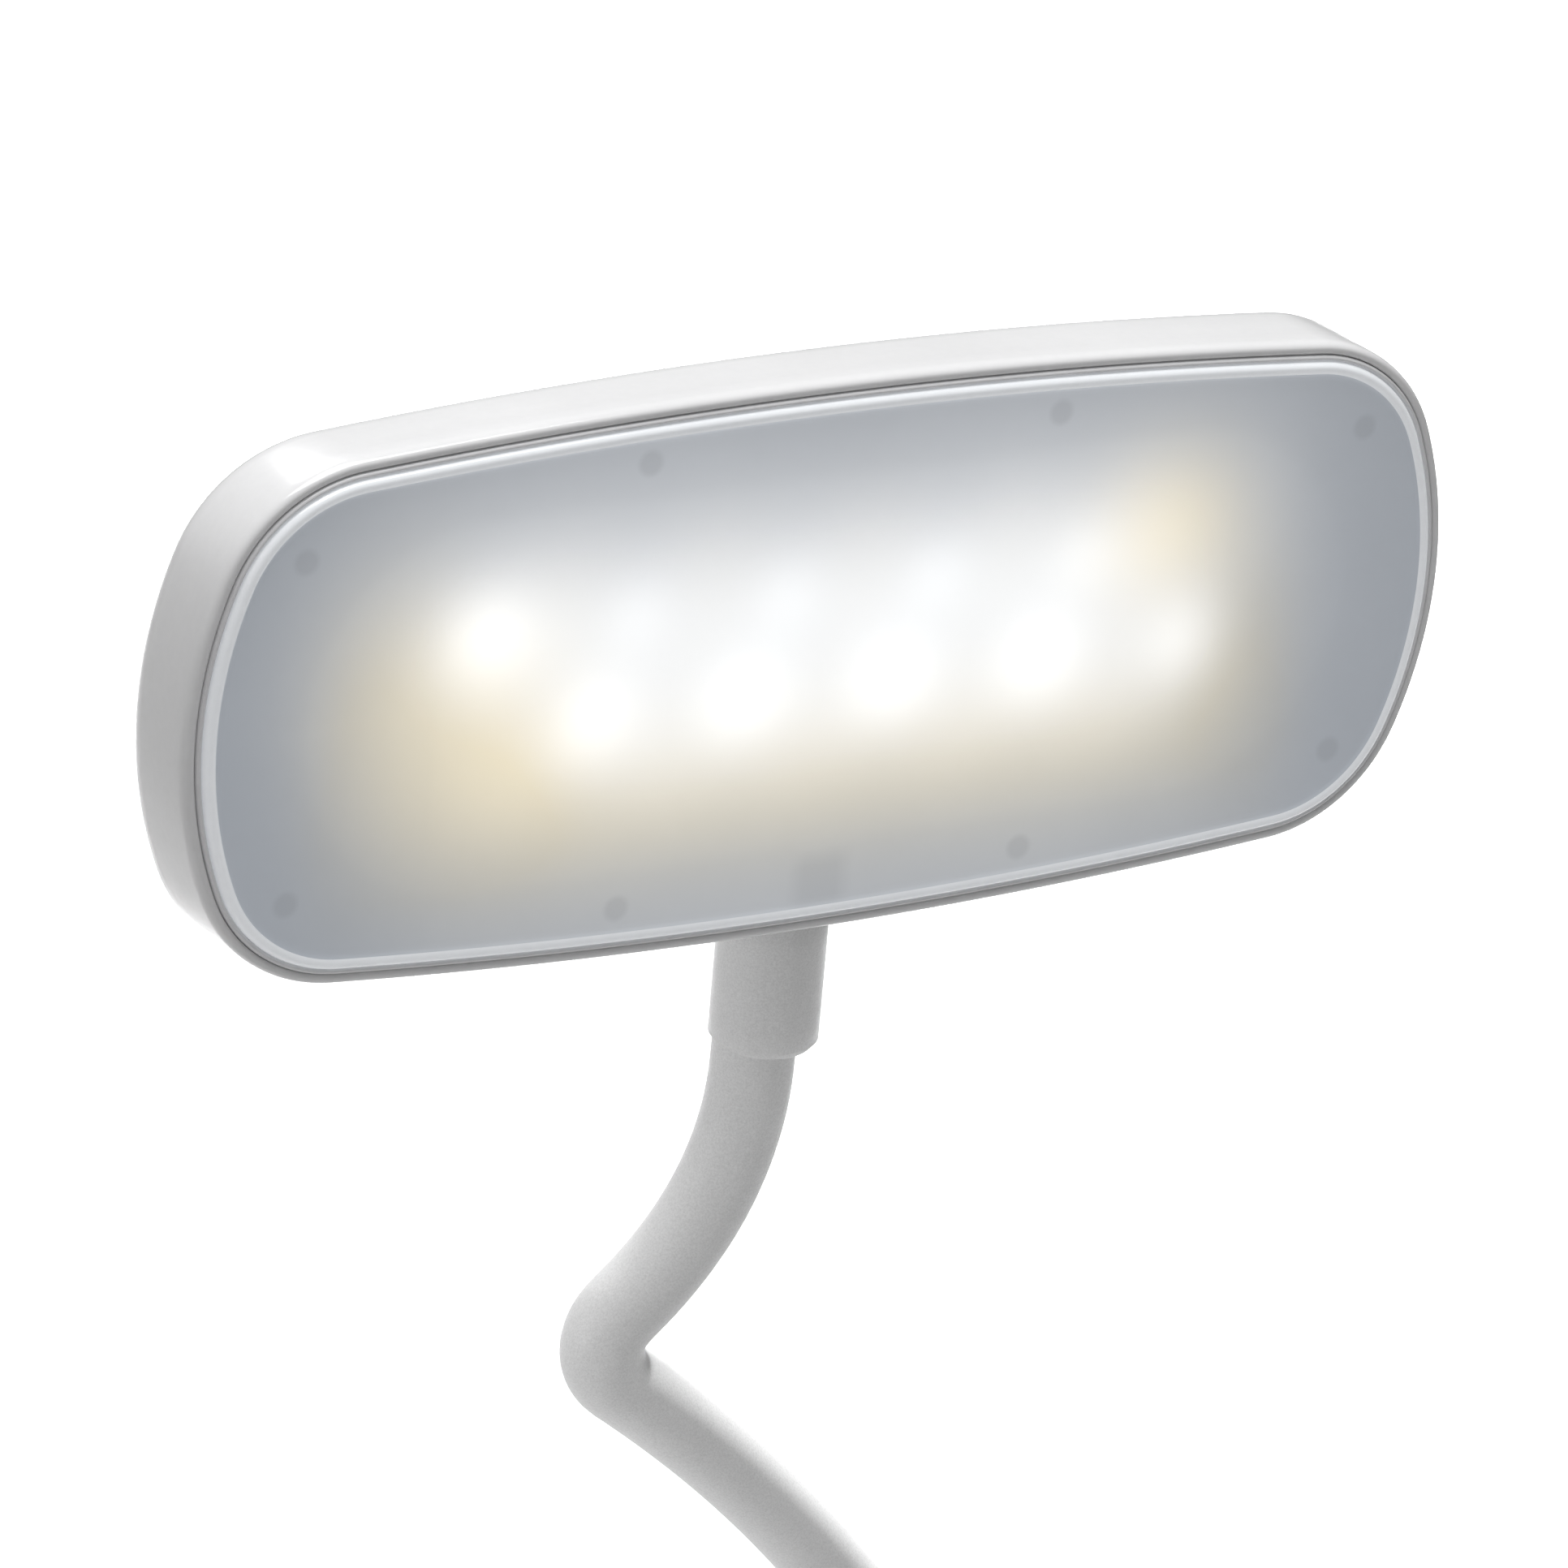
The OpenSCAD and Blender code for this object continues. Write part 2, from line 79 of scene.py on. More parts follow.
def object_coords(tree, scale=1000.0, centre=(0, 0, 0)):
    """Object coordinates measured from centre, in millimetres at the usual scale."""
    coords = tree.nodes.new("ShaderNodeTexCoord")
    mapping = tree.nodes.new("ShaderNodeMapping")
    mapping.inputs["Location"].default_value = [-c * scale for c in centre]
    mapping.inputs["Scale"].default_value = (scale, scale, scale)
    tree.links.new(coords.outputs["Object"], mapping.inputs["Vector"])
    return mapping.outputs["Vector"]


def noise(tree, vector, scale, detail=3.0, rough=0.5):
    n = tree.nodes.new("ShaderNodeTexNoise")
    n.inputs["Scale"].default_value = scale
    n.inputs["Detail"].default_value = detail
    n.inputs["Roughness"].default_value = rough
    tree.links.new(vector, n.inputs["Vector"])
    return n.outputs["Fac"]


def ramp(tree, fac, stops):
    r = tree.nodes.new("ShaderNodeValToRGB")
    while len(r.color_ramp.elements) < len(stops):
        r.color_ramp.elements.new(0.5)
    for e, (pos, col) in zip(r.color_ramp.elements, stops):
        e.position = pos
        e.color = (*col, 1)
    tree.links.new(fac, r.inputs["Fac"])
    return r.outputs["Color"]


def to_range(tree, value, lo, hi):
    """The middle part of a noise's values, spread from lo to hi."""
    r = tree.nodes.new("ShaderNodeMapRange")
    r.inputs["From Min"].default_value = 0.3
    r.inputs["From Max"].default_value = 0.7
    r.inputs["To Min"].default_value = lo
    r.inputs["To Max"].default_value = hi
    tree.links.new(value, r.inputs["Value"])
    return r.outputs["Result"]


def bump(tree, bsdf, height, strength, distance):
    b = tree.nodes.new("ShaderNodeBump")
    b.inputs["Strength"].default_value = strength
    b.inputs["Distance"].default_value = distance
    tree.links.new(height, b.inputs["Height"])
    tree.links.new(b.outputs["Normal"], bsdf.inputs["Normal"])


def math_node(tree, op, a, b=None, c=None, clamp=False):
    m = tree.nodes.new("ShaderNodeMath")
    m.operation = op
    m.use_clamp = clamp
    for socket, value in zip(m.inputs, (a, b, c)):
        if value is None:
            continue
        if isinstance(value, (int, float)):
            socket.default_value = value
        else:
            tree.links.new(value, socket)
    return m.outputs[0]


def blend_of(tree, first, first_part, second, second_part):
    a = math_node(tree, "MULTIPLY", first, first_part)
    return math_node(tree, "ADD", a, math_node(tree, "MULTIPLY", second, second_part))


def moulded(name, dark, light, rough, grain, coat=0.0, metallic=0.0, depth=0.00002):
    """A moulded or coated surface: fine grain, broad uneven tone and uneven gloss."""
    mat, tree, bsdf = new_material(name)
    v = object_coords(tree)
    fine = noise(tree, v, grain, 4.0, 0.6)
    broad = noise(tree, v, 0.05, 2.0)
    mixed = blend_of(tree, fine, 0.45, broad, 0.55)
    tree.links.new(ramp(tree, mixed, [(0.3, dark), (0.7, light)]), bsdf.inputs["Base Color"])
    spread = 0.06
    gloss = to_range(tree, broad, rough - spread, rough + spread)
    tree.links.new(gloss, bsdf.inputs["Roughness"])
    bsdf.inputs["Metallic"].default_value = metallic
    bsdf.inputs["Coat Weight"].default_value = coat
    bsdf.inputs["Coat Roughness"].default_value = 0.08
    bump(tree, bsdf, fine, 0.25, depth)
    return mat


def steel(name, tone, rough, stretch=(1, 1, 12)):
    mat, tree, bsdf = new_material(name)
    coords = tree.nodes.new("ShaderNodeTexCoord")
    mapping = tree.nodes.new("ShaderNodeMapping")
    mapping.inputs["Scale"].default_value = [1000.0 / s for s in stretch]
    tree.links.new(coords.outputs["Object"], mapping.inputs["Vector"])
    brushed = noise(tree, mapping.outputs["Vector"], 3.0, 5.0, 0.65)
    tree.links.new(
        ramp(tree, brushed, [(0.3, [t * 0.82 for t in tone]), (0.7, tone)]), bsdf.inputs["Base Color"]
    )
    tree.links.new(to_range(tree, brushed, rough - 0.1, rough + 0.12), bsdf.inputs["Roughness"])
    bsdf.inputs["Metallic"].default_value = 1.0
    bump(tree, bsdf, brushed, 0.15, 0.00002)
    return mat


def speckled(name, dark, light, rough):
    """Matt soft skin with a very fine light and dark speckle."""
    mat, tree, bsdf = new_material(name)
    v = object_coords(tree)
    speck = noise(tree, v, 4.2, 2.0, 0.75)
    broad = noise(tree, v, 0.06, 2.0)
    mixed = blend_of(tree, speck, 0.8, broad, 0.2)
    tree.links.new(ramp(tree, mixed, [(0.32, dark), (0.62, light)]), bsdf.inputs["Base Color"])
    tree.links.new(to_range(tree, speck, rough + 0.08, rough - 0.06), bsdf.inputs["Roughness"])
    bsdf.inputs["Specular IOR Level"].default_value = 0.35
    bump(tree, bsdf, speck, 0.3, 0.00004)
    return mat


# ---------------------------------------------------------------- materials
shell_mat = moulded(
    "gloss_white_shell", (0.71, 0.71, 0.715), (0.75, 0.75, 0.755), 0.17, 0.9, coat=0.2, depth=0.00001
)
collar_mat = speckled("satin_collar", (0.70, 0.70, 0.70), (0.84, 0.84, 0.84), 0.34)
neck_mat = speckled("soft_neck_skin", (0.72, 0.72, 0.72), (0.87, 0.87, 0.87), 0.42)
rubber_mat = moulded("grip_rubber", (0.035, 0.035, 0.037), (0.06, 0.06, 0.062), 0.62, 2.2, depth=0.00008)
button_mat = moulded("button_plastic", (0.44, 0.45, 0.47), (0.52, 0.53, 0.55), 0.4, 1.6)
steel_mat = steel("zinc_steel", (0.72, 0.73, 0.75), 0.3)
core_mat = steel("wound_steel", (0.55, 0.56, 0.58), 0.38, (1, 1, 1))
weight_mat = steel("plate_steel", (0.38, 0.39, 0.41), 0.5)
board_mat = moulded("green_board", (0.012, 0.1, 0.04), (0.02, 0.15, 0.06), 0.35, 1.2, coat=0.3)
white_board_mat = moulded("white_board", (0.74, 0.74, 0.72), (0.82, 0.82, 0.8), 0.4, 1.5)
sheet_mat = moulded("white_sheet", (0.8, 0.8, 0.8), (0.88, 0.88, 0.88), 0.55, 1.4)
foil_mat = moulded("cell_foil", (0.45, 0.47, 0.5), (0.6, 0.62, 0.65), 0.3, 0.6, metallic=0.8, depth=0.00008)
black_mat = moulded("black_plastic", (0.012, 0.012, 0.013), (0.03, 0.03, 0.032), 0.4, 1.8)
pipe_mat = moulded("light_pipe", (0.7, 0.75, 0.78), (0.8, 0.85, 0.88), 0.15, 0.8, coat=0.5)
cool_mat = moulded("cool_led", (0.85, 0.88, 0.92), (0.95, 0.97, 1.0), 0.2, 0.8, coat=0.4)
warm_mat = moulded("warm_led", (0.85, 0.62, 0.25), (0.95, 0.74, 0.36), 0.2, 0.8, coat=0.4)


LED_PITCH = 18.5


def diffuser_material():
    """Frosted cover lit from behind: two rows of patches, warm edges, soft halo, post shadows."""
    mat, tree, bsdf = new_material("frosted_diffuser")
    v = object_coords(tree, 1000.0, (0, 0, HEAD_Z))
    split = tree.nodes.new("ShaderNodeSeparateXYZ")
    tree.links.new(v, split.inputs["Vector"])
    x, z = split.outputs["X"], split.outputs["Z"]

    def m(op, *args, **kw):
        return math_node(tree, op, *args, **kw)

    def bell(dx, dz, sx, sz):
        """exp of minus half the squared scaled distance."""
        a = m("POWER", m("DIVIDE", dx, sx), 2.0)
        b = m("POWER", m("DIVIDE", dz, sz), 2.0)
        return m("EXPONENT", m("MULTIPLY", m("ADD", a, b), -0.5))

    def far(dx, dz):
        return m("SQRT", m("ADD", m("POWER", dx, 2.0), m("POWER", dz, 2.0)))

    def between(lo, hi, soft):
        """1 from lo to hi along the head, fading over soft."""
        rise = m("SMOOTH_MIN", m("DIVIDE", m("SUBTRACT", x, lo - soft), soft, clamp=True), 1.0, 0.2)
        fall = m("SMOOTH_MIN", m("DIVIDE", m("SUBTRACT", hi + soft, x), soft, clamp=True), 1.0, 0.2)
        return m("MULTIPLY", rise, fall, clamp=True)

    def row(first, last, z0, sx, sz):
        """Equal patches one LED pitch apart, from first to last."""
        dx = m("WRAP", m("SUBTRACT", x, first), LED_PITCH / 2, -LED_PITCH / 2)
        return m("MULTIPLY", bell(dx, m("SUBTRACT", z, z0), sx, sz), between(first - 9, last + 9, 1.0))

    cool_up = row(-44.0, 30.0, 8.6, 3.2, 3.4)
    cool_low = row(-30.0, 44.0, -3.2, 3.7, 4.0)
    warm_up = row(-34.75, 39.25, 10.0, 5.2, 6.0)
    warm_low = row(-39.25, 34.75, -6.5, 5.4, 6.0)

    def plateau(x0, z0, wx, px, wz, pz):
        """1 in the middle, falling off past wx and wz, with the lower left corner cut."""
        cut = m("MULTIPLY", m("MAXIMUM", m("MULTIPLY", z, -0.3), 0.0), m("LESS_THAN", x, x0))
        dx = m("POWER", m("DIVIDE", m("ADD", m("ABSOLUTE", m("SUBTRACT", x, x0)), cut), wx), px)
        dz = m("POWER", m("DIVIDE", m("ABSOLUTE", m("SUBTRACT", z, z0)), wz), pz)
        return m("EXPONENT", m("MULTIPLY", m("ADD", dx, dz), -1.0))

    inner = plateau(-4.0, 0.0, 56.2, 7.0, 18.7, 2.9)
    halo = plateau(0.0, 0.0, 60.0, 5.0, 60.0, 4.0)

    def patch(x0, z0, sx, sz):
        return bell(m("SUBTRACT", x, x0), m("SUBTRACT", z, z0), sx, sz)

    below = m("MULTIPLY", bell(0.0, m("ADD", z, 17.5), 1.0, 7.0), between(-60, 56, 8.0))
    tint = m("ADD", m("MULTIPLY", below, 0.85), m("MULTIPLY", patch(-57.0, 0.0, 8.0, 12.0), 1.0))
    tint = m("ADD", tint, m("MULTIPLY", patch(-42.0, -8.0, 7.0, 9.0), 0.7))
    tint = m("ADD", tint, m("MULTIPLY", patch(43.0, 12.0, 7.0, 7.0), 0.75))
    tint = m("ADD", tint, m("MULTIPLY", patch(54.0, -6.0, 6.0, 10.0), 0.75), clamp=True)

    # A mask of the painted shadows that the eight posts and the neck anchor cast on the diffuser
    def post_and_anchor_shadows():
        ax = m("ABSOLUTE", x)
        az = m("ABSOLUTE", z)
        total = None
        for px, pz in ((65.3, 19.4), (25.3, 25.7)):
            away = far(m("SUBTRACT", ax, px), m("SUBTRACT", az, pz))
            post_shadow = m("DIVIDE", m("SUBTRACT", 1.75, away), 0.7, clamp=True)
            total = post_shadow if total is None else m("MAXIMUM", total, post_shadow)
        bx = m("DIVIDE", m("SUBTRACT", 4.2, ax), 2.2, clamp=True)
        bz = m("DIVIDE", m("SUBTRACT", 4.0, m("ABSOLUTE", m("ADD", z, 26.0))), 2.2, clamp=True)
        return m("MAXIMUM", total, m("MULTIPLY", m("MULTIPLY", bx, bz), 0.8))

    def mix(a, b, fac):
        n = tree.nodes.new("ShaderNodeMix")
        n.data_type = "RGBA"
        for key, value in ((6, a), (7, b)):
            if isinstance(value, tuple):
                n.inputs[key].default_value = (*value, 1)
            else:
                tree.links.new(value, n.inputs[key])
        tree.links.new(fac, n.inputs[0])
        return n.outputs[2]

    mottled = noise(tree, v, 0.045, 2.0)
    fine = noise(tree, v, 1.8, 3.0)
    base = ramp(tree, mottled, [(0.3, (0.40, 0.43, 0.475)), (0.7, (0.44, 0.47, 0.515))])
    # The painted post and anchor shadows also darken the base colour
    shade = m("MULTIPLY", post_and_anchor_shadows(), 0.2)
    base = mix(base, (0.27, 0.29, 0.32), shade)
    tree.links.new(base, bsdf.inputs["Base Color"])
    tree.links.new(to_range(tree, fine, 0.34, 0.46), bsdf.inputs["Roughness"])
    bump(tree, bsdf, fine, 0.06, 0.00001)

    def scaled(colour, fac, gain):
        n = tree.nodes.new("ShaderNodeVectorMath")
        n.operation = "SCALE"
        n.inputs[0].default_value = colour
        tree.links.new(m("MULTIPLY", fac, gain), n.inputs["Scale"])
        return n.outputs[0]

    def combine(op, first, second):
        n = tree.nodes.new("ShaderNodeVectorMath")
        n.operation = op
        for key, value in ((0, first), (1, second)):
            if isinstance(value, tuple):
                n.inputs[key].default_value = value
            else:
                tree.links.new(value, n.inputs[key])
        return n.outputs[0]

    def grey(value):
        n = tree.nodes.new("ShaderNodeCombineXYZ")
        for key in range(3):
            tree.links.new(value, n.inputs[key])
        return n.outputs[0]

    warmth = mix((1.0, 0.985, 0.95), (0.93, 0.745, 0.36), tint)
    soft = combine("ADD", scaled((1.0, 1.0, 1.0), inner, 0.462), scaled((0.99, 1.0, 1.03), halo, 0.12))
    lit = combine("MULTIPLY", soft, warmth)
    cores = m("ADD", m("MULTIPLY", cool_up, 0.5), cool_low)
    lit = combine("ADD", lit, scaled((1.0, 1.0, 1.0), cores, 0.22))
    lit = combine("ADD", lit, scaled((1.0, 1.0, 0.99), patch(-43.5, 8.0, 5.0, 5.2), 0.2))
    lit = combine("ADD", lit, scaled((1.0, 0.86, 0.58), m("ADD", warm_up, warm_low), 0.05))
    lit = combine("ADD", lit, scaled((1.0, 0.88, 0.62), patch(40.0, 12.0, 6.5, 6.0), 0.12))
    total = combine("ADD", lit, (0.118, 0.127, 0.139))
    # Painted shade: the shadows of the posts and the neck anchor, and the area past the LED board's edge,
    # are a little darker
    past_end = m("MAXIMUM", m("SUBTRACT", m("ABSOLUTE", x), 43.0), 0.0)
    # Painted shade outside the LED board's end
    past_board_shade = m("DIVIDE", m("SUBTRACT", far(past_end, z), 20.6), 1.8, clamp=True)
    dim = m("SUBTRACT", 1.0, m("ADD", m("MULTIPLY", post_and_anchor_shadows(), 0.16), m("MULTIPLY", past_board_shade, 0.045)))
    total = combine("MULTIPLY", total, grey(dim))
    tree.links.new(total, bsdf.inputs["Emission Color"])
    bsdf.inputs["Emission Strength"].default_value = 1.0
    return mat


diffuser_mat = diffuser_material()
rim_mat = moulded("diffuser_rim", (0.66, 0.68, 0.70), (0.72, 0.74, 0.76), 0.2, 0.9, coat=0.4)
# The rim's faint glow is painted light: a flat emission standing in for the LED light that comes through
# its edge
rim_bsdf = next(n for n in rim_mat.node_tree.nodes if n.type == "BSDF_PRINCIPLED")
rim_bsdf.inputs["Emission Color"].default_value = (0.95, 0.97, 1.0, 1.0)
rim_bsdf.inputs["Emission Strength"].default_value = 0.24
lip_mat = moulded("bezel_lip", (0.70, 0.70, 0.71), (0.76, 0.76, 0.77), 0.3, 0.9)


# ---------------------------------------------------------------- mesh helpers
def make_mesh(name, verts, faces, mats, face_mats=None, sharp=None):
    mesh = bpy.data.meshes.new(name)
    mesh.from_pydata([tuple(v) for v in verts], [], [tuple(f) for f in faces])
    mesh.polygons.foreach_set("use_smooth", [True] * len(mesh.polygons))
    for m in mats:
        mesh.materials.append(m)
    if face_mats is not None:
        mesh.polygons.foreach_set("material_index", face_mats)
    ids = {tuple(sorted(e)) for e in sharp or ()}
    for e in mesh.edges:
        if tuple(sorted(e.vertices)) in ids:
            e.use_edge_sharp = True
    clean = bmesh.new()
    clean.from_mesh(mesh)
    bmesh.ops.remove_doubles(clean, verts=clean.verts, dist=1e-6)
    bmesh.ops.recalc_face_normals(clean, faces=clean.faces)
    clean.to_mesh(mesh)
    clean.free()
    mesh.update()
    ob = bpy.data.objects.new(name, mesh)
    scene.collection.objects.link(ob)
    return ob


def loft(rings, close_first=False, close_last=False, wrap=False):
    """Quads between closed rings of equal length. Returns verts, faces and cap edges."""
    count = len(rings[0])
    verts = np.concatenate(rings)
    faces = []
    total = len(rings)
    for i in range(total if wrap else total - 1):
        a, b = i * count, ((i + 1) % total) * count
        for j in range(count):
            k = (j + 1) % count
            faces.append((a + j, a + k, b + k, b + j))
    sharp = []
    if close_first:
        faces.append(tuple(reversed(range(count))))
        sharp += [(j, (j + 1) % count) for j in range(count)]
    if close_last:
        base = (total - 1) * count
        faces.append(tuple(range(base, base + count)))
        sharp += [(base + j, base + (j + 1) % count) for j in range(count)]
    return verts, faces, sharp


def lathe(profile, centre, steps=96):
    """Closed rings around the vertical axis. profile holds (radius, height) in millimetres."""
    a = np.linspace(0, 2 * math.pi, steps, endpoint=False)
    x, y, z = centre
    return [
        np.stack([x + r * MM * np.cos(a), y + r * MM * np.sin(a), np.full(steps, z + h * MM)], 1)
        for r, h in profile
    ]


# ---------------------------------------------------------------- head outline
BOW_Z, BOW_X, CORNER = 4.2, 11.8, 18.4
R_TOP = ((HEAD_W / 2) ** 2 + BOW_Z**2) / (2 * BOW_Z)
R_SIDE = ((HEAD_H / 2) ** 2 + BOW_X**2) / (2 * BOW_X)
TOP_C = np.array([0, HEAD_H / 2 - R_TOP])
SIDE_C = np.array([HEAD_W / 2 - R_SIDE, 0])
SPAN = np.linalg.norm(SIDE_C - TOP_C)
REACH_T, REACH_S = R_TOP - CORNER, R_SIDE - CORNER
ALONG = (REACH_T**2 - REACH_S**2 + SPAN**2) / (2 * SPAN)
ACROSS = math.sqrt(REACH_T**2 - ALONG**2)
UNIT = (SIDE_C - TOP_C) / SPAN
CORNER_C = TOP_C + UNIT * ALONG + np.array([UNIT[1], -UNIT[0]]) * ACROSS
A_SIDE = math.atan2(*(CORNER_C - SIDE_C)[::-1])
A_TOP = math.atan2(*(CORNER_C - TOP_C)[::-1])


def arc(c, r, a0, a1, n):
    a = np.linspace(a0, a1, n, endpoint=False)
    return np.stack([c[0] + r * np.cos(a), c[1] + r * np.sin(a)], 1)


def head_outline(inset, n=(14, 22, 30)):
    """The head's outline drawn in by inset, in millimetres around the head's middle."""
    q = np.concatenate([
        arc(SIDE_C, R_SIDE - inset, 0, A_SIDE, n[0]),
        arc(CORNER_C, CORNER - inset, A_SIDE, A_TOP, n[1]),
        arc(TOP_C, R_TOP - inset, A_TOP, math.pi / 2, n[2]),
    ])
    top = np.array([[0, HEAD_H / 2 - inset]])
    left = q[:0:-1] * [-1, 1]
    half = np.concatenate([q, top, left, [[-q[0][0], 0]]])
    return np.concatenate([half, half[-2:0:-1] * [1, -1]])


# Behind SAG_FROM the shell hangs lower with its depth, more on the left than on the right
SAG_SLOPE, SAG_FROM, SAG_TILT = 0.065, 2.5, 0.6


def head_ring(inset, depth):
    """One outline in the head, depth in millimetres behind the front."""
    o = head_outline(inset)
    sag = SAG_SLOPE * max(0.0, depth - SAG_FROM) * (1 - SAG_TILT * o[:, 0] / (HEAD_W / 2))
    return np.stack([o[:, 0] * MM, np.full(len(o), FRONT + depth * MM), HEAD_Z + (o[:, 1] - sag) * MM], 1)


DEPTH = (BACK - FRONT) / MM


def fillet(inset0, depth0, inset1, depth1, n):
    """A quarter ellipse that leaves (inset0, depth0) along the depth and ends across it."""
    out = []
    for i in range(1, n + 1):
        t = math.pi / 2 * i / n
        across, along = 1 - math.cos(t), math.sin(t)
        out.append((inset0 + (inset1 - inset0) * across, depth0 + (depth1 - depth0) * along))
    return out


# Shell: groove wall, rounded front edge, side wall, rounded rear edge, slightly crowned back, inner face.
profile = [(1.32, 3.6), (1.32, 2.2), (1.32, 1.24)]
profile += [(1.26, 1.0), (1.1, 0.86), (0.85, 0.81), (0.62, 0.84), (0.42, 0.96), (0.24, 1.18)]
profile += [(0.1, 1.5), (0.02, 1.95)]
profile += [(0.0, 2.5), (0.0, 4.5), (0.0, 7.0), (0.0, DEPTH - 5.4)]
profile += fillet(0.0, DEPTH - 5.0, 5.0, DEPTH - 0.25, 10)
profile += [(8.0, DEPTH - 0.12), (14.0, DEPTH - 0.03)]
hollow = [(1.32, 3.6), (1.32, 5.0), (1.6, DEPTH - 6.0), (2.6, DEPTH - 4.2), (6.5, DEPTH - 2.0)]
back_v, back_f, _ = loft([head_ring(i, d) for i, d in profile], close_last=True)
in_v, in_f, _ = loft([head_ring(i, d) for i, d in hollow], close_last=True)
offset = len(back_v)
shell = make_mesh(
    "shell_smooth",
    np.concatenate([back_v, in_v]),
    back_f + [tuple(offset + i for i in reversed(f)) for f in in_f],
    [shell_mat],
)
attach(shell, "head")
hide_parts("head_shell")

# Bezel: a thin lip with a rounded front.
lip_profile = [
    (1.34, 3.4), (1.34, 1.24), (1.38, 1.0), (1.46, 0.78), (1.58, 0.65), (1.7, 0.61),
    (1.82, 0.65), (1.94, 0.78), (2.0, 0.95), (2.03, 1.1), (2.03, 3.4),
]
v, f, _ = loft([head_ring(i, d) for i, d in lip_profile], wrap=True)
lip = make_mesh("bezel_lip_ring", v, f, [lip_mat])
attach(lip, "head")
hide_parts("head_bezel")

# Diffuser: back face, side, raised round rim, sloping inside, flat frosted face.
rim_profile = [
    (2.06, 2.3), (2.06, 0.95), (2.1, 0.64), (2.22, 0.36), (2.42, 0.13), (2.66, 0.02), (2.9, 0.02),
    (3.14, 0.1), (3.36, 0.24),
]
face_profile = [(3.55, 0.4), (3.8, 0.5), (4.3, 0.54), (6.0, 0.55), (9.0, 0.55), (13.0, 0.55), (16.5, 0.55)]
diff_profile = rim_profile + face_profile
v, f, _ = loft([head_ring(i, d) for i, d in diff_profile], close_first=True, close_last=True)
count = len(head_outline(0))
rim_bands = len(rim_profile) - 1
mats = [1 if k // count < rim_bands else 0 for k in range(count * (len(diff_profile) - 1))] + [0, 0]
cover = make_mesh("diffuser_smooth", v, f, [diffuser_mat, rim_mat], mats)
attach(cover, "head")
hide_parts("diffuser")

# Collar: a tube with a rounded lower rim that turns in to the neck.
drop = (collar_hi[2] - collar_lo[2]) / MM
R = (collar_hi[0] - collar_lo[0]) / 2 / MM
collar_profile = [
    (4.8, 0.9), (4.82, 0.35), (4.95, 0.08), (5.1, 0.0), (5.3, 0.02), (5.52, 0.12), (5.68, 0.3),
    (5.77, 0.58), (R, 0.95), (R, 3.0), (R, 8.0), (R, 13.0), (R, drop), (4.8, drop), (4.8, 8.0), (4.8, 3.0),
]
collar_foot = (*((collar_lo + collar_hi) / 2)[:2], collar_lo[2])
v, f, _ = loft(lathe(collar_profile, collar_foot), wrap=True)
collar = make_mesh("collar_smooth", v, f, [collar_mat])
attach(collar, "head")
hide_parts("head_collar")

# ---------------------------------------------------------------- gooseneck skin
joints = {j["name"]: j for j in frame["record"]["behaviour"]["joints"]}
neck_joints = sorted((j for n, j in joints.items() if n.startswith("neck_")), key=lambda j: j["name"])
spots = [np.array(j["pos_m"]) for j in neck_joints]
stub_lo, stub_hi = [np.array(v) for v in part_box("neck_stub")]
NECK_R = (stub_hi[1] - stub_lo[1]) / 2
# Lengths in millimetres and turns in degrees between the joints, from the clip up
KNEE_R, KNEE_TURN, KNEE_END = 5.2, 101.2, 1.5
RUNS = [
    [(21, 0)], [(24, 0)], [(28, -18)], [(22, -19.8), (25, -8)],
    [(24, -6.8), (KNEE_R * math.radians(KNEE_TURN), KNEE_TURN), (KNEE_END, 0)],
    [(10.2, -14), (22, -34.6)], [(12.4, 0)],
]
STEP = 0.25


def neck_line():
    """Centre line at even steps, with its curvature smoothed. Returns x, z and the joints' steps."""
    turn, marks, at = [], [], 0
    for run in RUNS:
        for length, angle in run:
            n = max(1, round(length / STEP))
            turn += [math.radians(angle) / n] * n
            at += n
        marks.append(at)
    kernel = np.exp(-0.5 * (np.arange(-12, 13) / 4.0) ** 2)
    kernel /= kernel.sum()
    smooth = np.convolve(np.pad(turn, 12), kernel, mode="same")[12:-12]
    heading = np.concatenate([[0], np.cumsum(smooth)])
    mid = (heading[1:] + heading[:-1]) / 2
    x = np.concatenate([[0], np.cumsum(np.sin(mid))]) * STEP * MM
    z = np.concatenate([[0], np.cumsum(np.cos(mid))]) * STEP * MM
    return x, z, [0] + marks


line_x, line_z, marks = neck_line()
start = np.array([spots[0][0], stub_lo[2]])
ends = [start.copy()] + [np.array([p[0], p[2]]) for p in spots]
ends.append(np.array([ends[-1][0], ends[-1][1] + RUNS[-1][0][0] * MM]))
# From the third joint up the soft neck leans to the left of the CAD's line
for k, lean in ((3, 0.7), (4, 1.0), (5, 0.8), (6, 1.1), (7, 0.9)):
    ends[k][0] -= lean * MM
line_x += start[0]
line_z += start[1]
# Pull the line onto the joints, a little at a time between them
shift_x = np.interp(np.arange(len(line_x)), marks, [e[0] - line_x[m] for e, m in zip(ends, marks)])
shift_z = np.interp(np.arange(len(line_x)), marks, [e[1] - line_z[m] for e, m in zip(ends, marks)])
line_x += shift_x
line_z += shift_z
line_h = np.arctan2(np.gradient(line_x), np.gradient(line_z))
AROUND = 64


def neck_ring(i):
    """A round section square to the line at its step i."""
    a = np.linspace(0, 2 * math.pi, AROUND, endpoint=False)
    h = line_h[i]
    return np.stack([
        line_x[i] + NECK_R * np.cos(a) * math.cos(h),
        NECK_R * np.sin(a),
        line_z[i] - NECK_R * np.cos(a) * math.sin(h),
    ], 1)


# Each skin piece runs from midway to midway between joints, but one cut is moved to the knee's end
cuts = [0] + [(marks[i] + marks[i + 1]) // 2 for i in range(1, 6)] + [marks[-1]]
cuts[4] = marks[5] - round(KNEE_END / STEP) - 1
